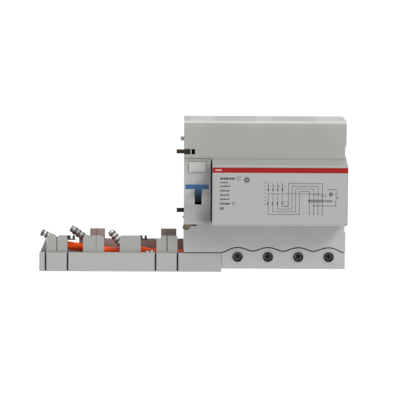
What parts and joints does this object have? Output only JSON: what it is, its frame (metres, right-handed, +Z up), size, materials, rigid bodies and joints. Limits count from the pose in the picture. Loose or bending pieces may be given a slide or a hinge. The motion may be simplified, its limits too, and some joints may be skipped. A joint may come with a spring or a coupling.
{
  "type": "residual current block",
  "caption": "Grey residual current block for a rail breaker: housing with nose, blue reset lever, test button and terminals, and a low comb of orange conductors.",
  "frame": {"origin": "on the rail's centre line, in the plane where the housing seats on the rail, at the face that couples to the breaker", "axes": "+X along the rail away from the breaker, +Y into the rail, +Z up"},
  "size_m": [0.2216, 0.077, 0.1095],
  "materials": {
    "housing_grey": "light grey moulded thermoset, fine matt texture",
    "bezel_grey": "light grey moulded plastic, satin",
    "comb_grey": "light grey moulded plastic, satin",
    "guard_grey": "light grey moulded plastic, slightly translucent",
    "label_film": "printed grey label with a red band and line drawing",
    "lever_blue": "blue moulded plastic, satin gloss",
    "button_grey": "pale grey moulded plastic, satin gloss",
    "steel": "bright zinc-plated steel",
    "shaft_steel": "blackened steel",
    "screw_zinc": "dark zinc-plated steel",
    "cage_steel": "zinc-plated pressed steel",
    "busbar_copper": "bare copper bar",
    "contact_brass": "spring brass strip",
    "clip_bronze": "dark spring bronze",
    "clip_brass": "dull yellow-passivated spring steel",
    "clip_black": "black moulded nylon",
    "resistor_body": "grey-blue lacquered resistor body",
    "board_green": "green solder resist on glass epoxy",
    "capacitor_sleeve": "black shrink sleeve",
    "core_metal": "wound magnetic strip",
    "winding_copper": "enamelled copper wire",
    "carrier_white": "off-white moulded nylon",
    "lead_sleeve": "pale lead sleeve",
    "relay_black": "black moulded plastic",
    "insulator_mauve": "brown-mauve insulating plastic",
    "cable_orange": "orange silicone insulation",
    "crimp_tin": "tinned copper crimp sleeve with dark grooves"
  },
  "bodies": {
    "block": {"rear_housing": "housing_grey", "front_housing": "housing_grey", "nose_housing": "housing_grey", "terminal_cover": "housing_grey", "nose_cover": "housing_grey", "toggle_bezel": "bezel_grey", "comb_base": "comb_grey", "comb_front": "comb_grey", "cable_guard_1": "guard_grey", "cable_guard_2": "guard_grey", "cable_guard_3": "guard_grey", "cable_guard_4": "guard_grey", "rating_label": "label_film", "lever_pin": "steel", "lever_spring": "steel", "test_spring": "steel", "clip_spring": "steel", "housing_screws": "steel", "busbar_1": "busbar_copper", "busbar_2": "busbar_copper", "busbar_3": "busbar_copper", "busbar_4": "busbar_copper", "test_contact": "contact_brass", "cable_clips": "clip_black", "test_resistor": "resistor_body", "circuit_board": "board_green", "capacitor": "capacitor_sleeve", "toroid_core": "core_metal", "toroid_winding": "winding_copper", "toroid_case": "carrier_white", "sensor_leads": "lead_sleeve", "relay_housing": "relay_black", "insulator_block_1": "insulator_mauve", "insulator_block_2": "insulator_mauve", "insulator_bar": "insulator_mauve", "conductor_1": "cable_orange", "conductor_2": "cable_orange", "conductor_3": "cable_orange", "conductor_4": "cable_orange", "pin_terminal_1": "crimp_tin", "pin_terminal_2": "crimp_tin", "pin_terminal_3": "crimp_tin", "pin_terminal_4": "crimp_tin"},
    "lever": {"reset_lever": "lever_blue"},
    "button": {"test_button": "button_grey"},
    "trip_shaft": {"trip_shaft": "shaft_steel", "trip_arm": "carrier_white"},
    "plunger": {"relay_plunger": "steel"},
    "slider": {"trip_slider": "carrier_white"},
    "rail_clip": {"din_clip": "clip_black"},
    "upper_clip": {"upper_coupling_clip": "clip_bronze"},
    "lower_clip": {"lower_coupling_clip": "clip_brass"},
    "screw_1": {"terminal_screw_1": "screw_zinc"},
    "cage_1": {"terminal_cage_1": "cage_steel"},
    "screw_2": {"terminal_screw_2": "screw_zinc"},
    "cage_2": {"terminal_cage_2": "cage_steel"},
    "screw_3": {"terminal_screw_3": "screw_zinc"},
    "cage_3": {"terminal_cage_3": "cage_steel"},
    "screw_4": {"terminal_screw_4": "screw_zinc"},
    "cage_4": {"terminal_cage_4": "cage_steel"}
  },
  "joints": [
    {"name": "lever_tilt", "type": "hinge", "parent": "block", "child": "lever", "pos_m": [0, -0.05, -0.003], "axis": [1, 0, 0], "range_deg": [0, 40]},
    {"name": "shaft_turn", "type": "hinge", "parent": "block", "child": "trip_shaft", "pos_m": [0, -0.038, -0.0146], "axis": [1, 0, 0], "range_deg": [-30, 0]},
    {"name": "button_press", "type": "slide", "parent": "block", "child": "button", "axis": [0, 1, 0], "range_m": [0, 0.0016], "stiffness_N_per_m": 600},
    {"name": "plunger_push", "type": "slide", "parent": "block", "child": "plunger", "axis": [-1, 0, 0], "range_m": [0, 0.003], "stiffness_N_per_m": 150},
    {"name": "slider_push", "type": "slide", "parent": "block", "child": "slider", "axis": [-1, 0, 0], "range_m": [0, 0.003]},
    {"name": "rail_clip_pull", "type": "slide", "parent": "block", "child": "rail_clip", "axis": [0, 0, -1], "range_m": [0, 0.003], "stiffness_N_per_m": 1500, "springref_m": -0.001, "deforming": ["clip_spring"]},
    {"name": "upper_clip_slide", "type": "slide", "parent": "block", "child": "upper_clip", "axis": [1, 0, 0], "range_m": [0, 0.0025]},
    {"name": "lower_clip_slide", "type": "slide", "parent": "block", "child": "lower_clip", "axis": [1, 0, 0], "range_m": [0, 0.001]},
    {"name": "screw_1_turn", "type": "hinge", "parent": "block", "child": "screw_1", "pos_m": [0.0389, 0, -0.0478], "axis": [0, 1, 0], "range_deg": [0, 1080]},
    {"name": "cage_1_travel", "type": "slide", "parent": "block", "child": "cage_1", "axis": [0, -1, 0], "range_m": [0, 0.003]},
    {"name": "screw_2_turn", "type": "hinge", "parent": "block", "child": "screw_2", "pos_m": [0.06085, 0, -0.0478], "axis": [0, 1, 0], "range_deg": [0, 1080]},
    {"name": "cage_2_travel", "type": "slide", "parent": "block", "child": "cage_2", "axis": [0, -1, 0], "range_m": [0, 0.003]},
    {"name": "screw_3_turn", "type": "hinge", "parent": "block", "child": "screw_3", "pos_m": [0.0828, 0, -0.0478], "axis": [0, 1, 0], "range_deg": [0, 1080]},
    {"name": "cage_3_travel", "type": "slide", "parent": "block", "child": "cage_3", "axis": [0, -1, 0], "range_m": [0, 0.003]},
    {"name": "screw_4_turn", "type": "hinge", "parent": "block", "child": "screw_4", "pos_m": [0.10475, 0, -0.0478], "axis": [0, 1, 0], "range_deg": [0, 1080]},
    {"name": "cage_4_travel", "type": "slide", "parent": "block", "child": "cage_4", "axis": [0, -1, 0], "range_m": [0, 0.003]}
  ],
  "couplings": [
    {"joint": "shaft_turn", "follows": "lever_tilt", "ratio": -0.75},
    {"joint": "slider_push", "follows": "plunger_push", "ratio": 1},
    {"joint": "screw_1_turn", "follows": "cage_1_travel", "rad_per_m": 6283.2},
    {"joint": "screw_2_turn", "follows": "cage_2_travel", "rad_per_m": 6283.2},
    {"joint": "screw_3_turn", "follows": "cage_3_travel", "rad_per_m": 6283.2},
    {"joint": "screw_4_turn", "follows": "cage_4_travel", "rad_per_m": 6283.2}
  ]
}
